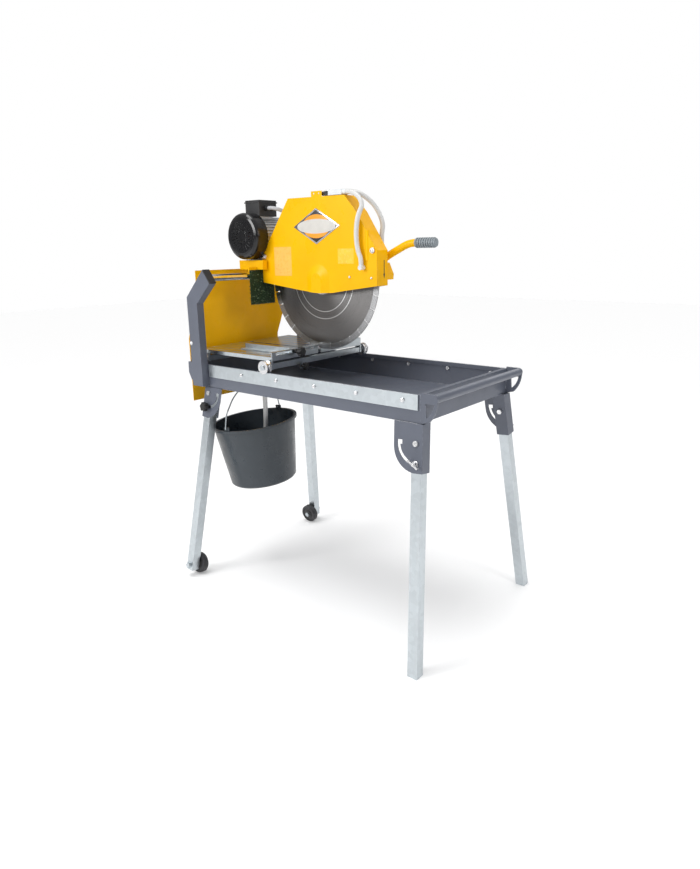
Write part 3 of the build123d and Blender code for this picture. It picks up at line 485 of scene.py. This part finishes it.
BUCKET_PLASTIC = moulded("bucket_plastic", (0.032, 0.041, 0.050), rough=0.32, grain=260, dust_and_edge_light=1.12)
FIBRE = grass_fibre()

for entry in frame["record"]["subparts"]:
    node = frame["nodes"][entry["node"]]
    node.data.materials.clear()
    node.data.materials.append(LOOK[entry["material_slot"]])
frame["nodes"]["bucket"].data.materials[0] = BUCKET_PLASTIC


# ---------------------------------------------------------------- mesh kit
def add_piece(name, mesh, body, slot, material=None):
    piece = bpy.data.objects.new(name, mesh)
    scene.collection.objects.link(piece)
    mesh.materials.append(material or LOOK[slot])
    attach(piece, body)
    return piece


def mesh_from(name, build, smooth=True):
    bm = bmesh.new()
    build(bm)
    bmesh.ops.recalc_face_normals(bm, faces=bm.faces)
    mesh = bpy.data.meshes.new(name)
    bm.to_mesh(mesh)
    bm.free()
    if smooth:
        mesh.shade_smooth()
        mesh.set_sharp_from_angle(angle=math.radians(35))
    return mesh


def lathe(bm, outline, place, steps=48):
    """Turns an open outline of (radius, height) points about the Z axis of place."""
    rings = []
    for r, z in outline:
        ring = [bm.verts.new(place @ Vector((r * math.cos(a), r * math.sin(a), z)))
                for a in (2 * math.pi * i / steps for i in range(steps))]
        rings.append(ring)
    for low, high in zip(rings, rings[1:]):
        for i in range(steps):
            bm.faces.new((low[i], low[(i + 1) % steps], high[(i + 1) % steps], high[i]))
    bm.faces.new(rings[0])
    bm.faces.new(rings[-1])


def plate(bm, outline, low, high, place, bevel=0.0):
    """A flat plate from an outline in the XY plane of place, between two heights."""
    bottom = [bm.verts.new(place @ Vector((x, y, low))) for x, y in outline]
    top = [bm.verts.new(place @ Vector((x, y, high))) for x, y in outline]
    count = len(outline)
    bm.faces.new(bottom)
    lid = bm.faces.new(top)
    for i in range(count):
        bm.faces.new((bottom[i], bottom[(i + 1) % count], top[(i + 1) % count], top[i]))
    if bevel:
        bmesh.ops.bevel(bm, geom=list(lid.edges), offset=bevel, segments=2, affect="EDGES", profile=0.6)


def frame_at(origin, x_axis, z_axis):
    z = Vector(z_axis).normalized()
    x = (Vector(x_axis) - Vector(x_axis).dot(z) * z).normalized()
    turn = Matrix((x, z.cross(x), z)).transposed().to_4x4()
    return Matrix.Translation(origin) @ turn


# ---------------------------------------------------------------- hoses and leads
def cord_curve(name, route, diameter, body, node, slot):
    """A cord on one smooth spline, in place of its CAD tube."""
    data = bpy.data.curves.new(name, "CURVE")
    data.dimensions = "3D"
    data.bevel_depth = diameter / 2
    data.bevel_resolution = 6
    data.resolution_u = 16
    data.use_fill_caps = True
    spline = data.splines.new("NURBS")
    spline.points.add(len(route) - 1)
    for point, (x, y, z) in zip(spline.points, route):
        point.co = (x * MM, y * MM, z * MM, 1)
    spline.use_endpoint_u = True
    spline.order_u = 3
    data.materials.append(LOOK[slot])
    cord = bpy.data.objects.new(name, data)
    scene.collection.objects.link(cord)
    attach(cord, body)
    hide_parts(node)
    return cord


near_route = [(32, -20, 1439), (62, -20, 1439), (114, -32, 1398), (99, -44, 1360),
              (92, -45, 1316), (93, -45, 1272), (100, -44, 1240), (109, -42, 1222), (109, -42, 1201)]
far_route = [(32, -2, 1439), (62, -2, 1439), (104, 20, 1408), (127, 36, 1370),
             (138, 44, 1330), (132, 42, 1300), (132, 42, 1268)]
drain_route = [(-327, -100, 727), (-327, -100, 670), (-329, -99, 615), (-335, -98, 562)]
conduit_route = [(-363, 0, 1405), (-328, 0, 1405), (-290, 44, 1380), (-232, 60, 1352), (-150, 64, 1326),
                 (-66, 68, 1306), (4, 80, 1294), (60, 99, 1278), (60, 99, 1240)]
near_hose = cord_curve("near_hose", near_route, 0.016, "head", "hose_near", "hose_rubber")
far_hose = cord_curve("far_hose", far_route, 0.016, "head", "hose_far", "hose_rubber")
drain = cord_curve("drain_pipe", drain_route, 0.018, "bench", "drain_hose", "hose_rubber")
conduit = cord_curve("motor_lead", conduit_route, 0.014, "head", "motor_conduit", "conduit_plastic")


# ---------------------------------------------------------------- splash mat: a tufted brush mat
mat_low, mat_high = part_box("splash_mat")
MAT_BACK, MAT_FRONT = mat_low.x - 0.0025, mat_high.x + 0.0005
MAT_ROWS = 46
FRONT_ROOT, BACK_ROOT = 0.0025, 0.0022
HOLDER_CLEAR_Z = 1.170   # the mat's holder is just above this, behind the mat
FIBRE_LENGTH = (0.005, 0.0085)
FIBRE_HALF_WIDTH = (0.0006, 0.0011)
SHEET_INSET, SHEET_THICK = 0.0018, 0.0012


def tuft(bm, root, out, rng):
    """One crinkled plastic fibre that leans out of the mat's face."""
    lean = Vector((out, rng.uniform(-0.9, 0.9), rng.uniform(-1.1, 0.5))).normalized()
    side = lean.cross(Vector((out, 0, 0.3))).normalized() * rng.uniform(*FIBRE_HALF_WIDTH)
    length = rng.uniform(*FIBRE_LENGTH)
    last = None
    for i in range(4):
        t = i / 3
        curl = Vector((0, math.sin(3 * t + root.y * 900), math.cos(4 * t + root.z * 700))) * 0.0014 * t
        middle = root + lean * length * t + curl
        middle.x = min(max(middle.x, MAT_BACK), MAT_FRONT)
        width = side * (1 - 0.75 * t)
        pair = (bm.verts.new(middle - width), bm.verts.new(middle + width))
        if last:
            bm.faces.new((last[0], last[1], pair[1], pair[0]))
        last = pair


def fill_mat(bm):
    """Fibres at jittered places on both faces of the mat."""
    rng = random.Random(4)
    for i in range(MAT_ROWS):
        for j in range(MAT_ROWS):
            y = mat_low.y + (i + rng.random()) / MAT_ROWS * (mat_high.y - mat_low.y)
            z = mat_low.z + (j + rng.random()) / MAT_ROWS * (mat_high.z - mat_low.z)
            for out, x in ((1, mat_low.x + FRONT_ROOT), (-1, mat_low.x + BACK_ROOT)):
                if out > 0 or z < HOLDER_CLEAR_Z:
                    tuft(bm, Vector((x, y, z)), out, rng)


def back_sheet(bm):
    """The thin sheet that the fibres stand on."""
    place = frame_at((mat_low.x + SHEET_INSET, 0, 0), (0, 1, 0), (1, 0, 0))
    corners = [(mat_low.y, mat_low.z), (mat_high.y, mat_low.z),
               (mat_high.y, mat_high.z), (mat_low.y, mat_high.z)]
    plate(bm, corners, 0.0, SHEET_THICK, place, 0.0003)


mat_back = add_piece("mat_back", mesh_from("mat_back", back_sheet), "head", "mat_rubber")
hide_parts("splash_mat")
add_piece("mat_tufts", mesh_from("mat_tufts", fill_mat, smooth=False), "head", "mat_rubber", FIBRE)


# ---------------------------------------------------------------- badge, labels and arrow on the guard
def flat_colour(name, colour, rough=0.35, metallic=0.0):
    """Print, film or badge metal: one colour, a little uneven."""
    p = Paint(name, colour, rough, metallic)
    p.colour(p.ramp(p.noise(40, 4), [(0.3, tint(colour, 0.93)), (0.7, tint(colour, 1.04))]))
    p.rough(p.grey(p.noise(90, 2), rough - 0.05, rough + 0.07))
    return p.material


INK = flat_colour("print_black", (0.02, 0.02, 0.022))
SILVER = flat_colour("badge_silver", (0.50, 0.50, 0.52), 0.22, 1.0)
ORANGE = flat_colour("badge_orange", (0.90, 0.34, 0.01))
PALE = flat_colour("badge_pale", (0.62, 0.60, 0.56))
LABEL = flat_colour("label_film", (0.93, 0.52, 0.10), 0.28)
FAINT = flat_colour("sticker_film", (0.95, 0.60, 0.05), 0.25)

COVER_Y = -0.030
BADGE_X, BADGE_Z = -0.098, 1.331
BADGE_HALF_W, BADGE_HALF_H = 0.108, 0.0605
LENS_SHARE = 0.86   # the oval fills at most this share of the badge's height at any place
FILM_THICK = 0.0003
badge_place = frame_at((BADGE_X, COVER_Y, BADGE_Z), (1, 0, 0), (0, -1, 0))


def diamond(scale):
    return [(BADGE_HALF_W * scale, 0), (0, BADGE_HALF_H * scale), (-BADGE_HALF_W * scale, 0),
            (0, -BADGE_HALF_H * scale)]


def lens(half_width, half_height, steps=32):
    """An oval cut by the badge's slanted sides."""
    points = []
    for i in range(steps):
        a = 2 * math.pi * i / steps
        x, z = half_width * math.cos(a), half_height * math.sin(a)
        room = LENS_SHARE * (1 - abs(x) / BADGE_HALF_W) * BADGE_HALF_H
        points.append((x, math.copysign(min(abs(z), max(room, 0)), z)))
    return points


def badge_layer(name, outline, low, high, material, bevel=0.0002):
    mesh = mesh_from(name, lambda bm: plate(bm, outline, low, high, badge_place, bevel))
    add_piece(name, mesh, "head", "yellow_paint", material)


badge_layer("badge_frame", diamond(1.0), 0.0, 0.0016, SILVER, 0.0005)
badge_layer("badge_ground", diamond(0.90), 0.0016, 0.0019, INK)
badge_layer("badge_band", lens(0.064, 0.040), 0.0019, 0.0021, ORANGE)
badge_layer("badge_field", lens(0.090, 0.0245), 0.0021, 0.0023, PALE)


def label(name, x0, x1, z0, z1, material):
    """A blank sticker on the guard's cover."""
    place = frame_at((0, COVER_Y, 0), (1, 0, 0), (0, -1, 0))
    outline = [(x0, z0), (x1, z0), (x1, z1), (x0, z1)]
    mesh = mesh_from(name, lambda bm: plate(bm, outline, 0.0, FILM_THICK, place))
    add_piece(name, mesh, "head", "yellow_paint", material)


label("label_side", x0=-0.312, x1=-0.225, z0=1.161, z1=1.2635, material=LABEL)
label("label_small", x0=-0.002, x1=0.068, z0=1.2045, z1=1.2545, material=FAINT)

front_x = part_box("guard_shell")[1].x
ARROW_Y, ARROW_Z = 0.010, 1.1855
ARROW_SHAFT, ARROW_HEAD = 0.0018, 0.0048   # half widths
ARROW_TAIL, ARROW_NECK, ARROW_TIP = 0.030, -0.014, -0.031


def arrow(bm):
    """The generic arrow on the guard's front that shows which way the blade turns."""
    place = frame_at((front_x, ARROW_Y, ARROW_Z), (0, 1, 0), (1, 0, 0))
    outline = [(-ARROW_SHAFT, ARROW_TAIL), (ARROW_SHAFT, ARROW_TAIL), (ARROW_SHAFT, ARROW_NECK),
               (ARROW_HEAD, ARROW_NECK), (0.0, ARROW_TIP), (-ARROW_HEAD, ARROW_NECK),
               (-ARROW_SHAFT, ARROW_NECK)]
    plate(bm, outline, 0.0, FILM_THICK, place)


add_piece("turn_arrow", mesh_from("turn_arrow", arrow), "head", "yellow_paint", INK)


# ---------------------------------------------------------------- screw heads and weld beads
# x, z, head radius and washer radius of each screw on the guard's cover; 0 is no washer
COVER_SCREWS = ((-0.363, 1.230, 0.0072, 0.0095), (0.149, 1.247, 0.0072, 0.0095),
                (0.049, 1.160, 0.0045, 0.0), (0.143, 1.158, 0.0045, 0.0))
COVER_HEAD_H = 0.0034
WASHER_SEAT, BARE_SEAT = 0.0028, 0.0008   # how far the heads stand off the cover's face
RAIL_SCREWS = 5
RAIL_SCREW_X0, RAIL_SCREW_PITCH = -0.256, 0.1745
RAIL_FACE_Y, RAIL_SCREW_Z = 0.278, 0.825
POST_SCREW_X, POST_FACE_Y, POST_SCREW_Z = -0.494, 0.300, 0.925
# start, end, radius and seed of each weld seam on the far side; the near side mirrors them
SEAMS = (((-0.4445, 0.2705, 0.775), (-0.4445, 0.2705, 0.797), 0.0022, 0),
         ((-0.499, 0.2705, 0.7605), (-0.447, 0.2705, 0.7605), 0.0020, 10),
         ((0.5025, 0.264, 0.776), (0.5025, 0.264, 0.835), 0.0020, 20))


def button_head(bm, place, radius, height, washer=0.0):
    """A domed head on an optional flat washer, standing along the Z axis of place."""
    base = 0.0
    if washer:
        lathe(bm, [(washer, 0.0), (washer, 0.0010), (washer - 0.0004, 0.0014)], place, 40)
        base = 0.0014
    arc = [(radius * math.cos(a), base + height * math.sin(a)) for a in (0.0, 0.35, 0.7, 1.05, 1.35)]
    lathe(bm, [(radius, base - 0.0002)] + arc, place, 32)


def cover_heads(bm):
    for x, z, r, washer in COVER_SCREWS:
        seat = WASHER_SEAT if washer else BARE_SEAT
        place = frame_at((x, COVER_Y - seat, z), (1, 0, 0), (0, -1, 0))
        button_head(bm, place, radius=r, height=COVER_HEAD_H, washer=washer)


add_piece("cover_bolts", mesh_from("cover_bolts", cover_heads), "head", "zinc")


def rail_heads(bm):
    for i in range(RAIL_SCREWS):
        for side in (-1, 1):
            x = RAIL_SCREW_X0 + RAIL_SCREW_PITCH * i
            place = frame_at((x, side * RAIL_FACE_Y, RAIL_SCREW_Z), (1, 0, 0), (0, side, 0))
            button_head(bm, place, radius=0.0062, height=0.0022)


add_piece("rail_heads", mesh_from("rail_heads", rail_heads), "bench", "zinc")


def bead(bm, start, end, radius, seed):
    """A hand-laid weld bead: a chain of overlapping ripples along a seam."""
    rng = random.Random(seed)
    start, end = Vector(start), Vector(end)
    along = (end - start).normalized()
    count = max(2, round((end - start).length / (radius * 0.9)))
    place = frame_at(start, along.orthogonal(), along)
    for i in range(count):
        middle = (i + 0.5) * (end - start).length / count
        r = radius * rng.uniform(0.85, 1.1)
        wobble = Vector((rng.uniform(-0.0003, 0.0003), rng.uniform(-0.0003, 0.0003), middle))
        shift = place @ Matrix.Translation(wobble)
        lathe(bm, [(r * 0.55, -r * 0.75), (r, 0.0), (r * 0.55, r * 0.75)], shift, 12)


def weld_beads(bm):
    for number, side in enumerate((-1, 1)):
        for start, end, radius, seed in SEAMS:
            ends = [(x, side * y, z) for x, y, z in (start, end)]
            bead(bm, *ends, radius, seed + number)


add_piece("weld_beads", mesh_from("weld_beads", weld_beads), "bench", "frame_paint")


def post_screws(bm):
    for side in (-1, 1):
        place = frame_at((POST_SCREW_X, side * POST_FACE_Y, POST_SCREW_Z), (1, 0, 0), (0, side, 0))
        button_head(bm, place, radius=0.0055, height=0.0032, washer=0.0075)


add_piece("post_screws", mesh_from("post_screws", post_screws), "bench", "zinc")
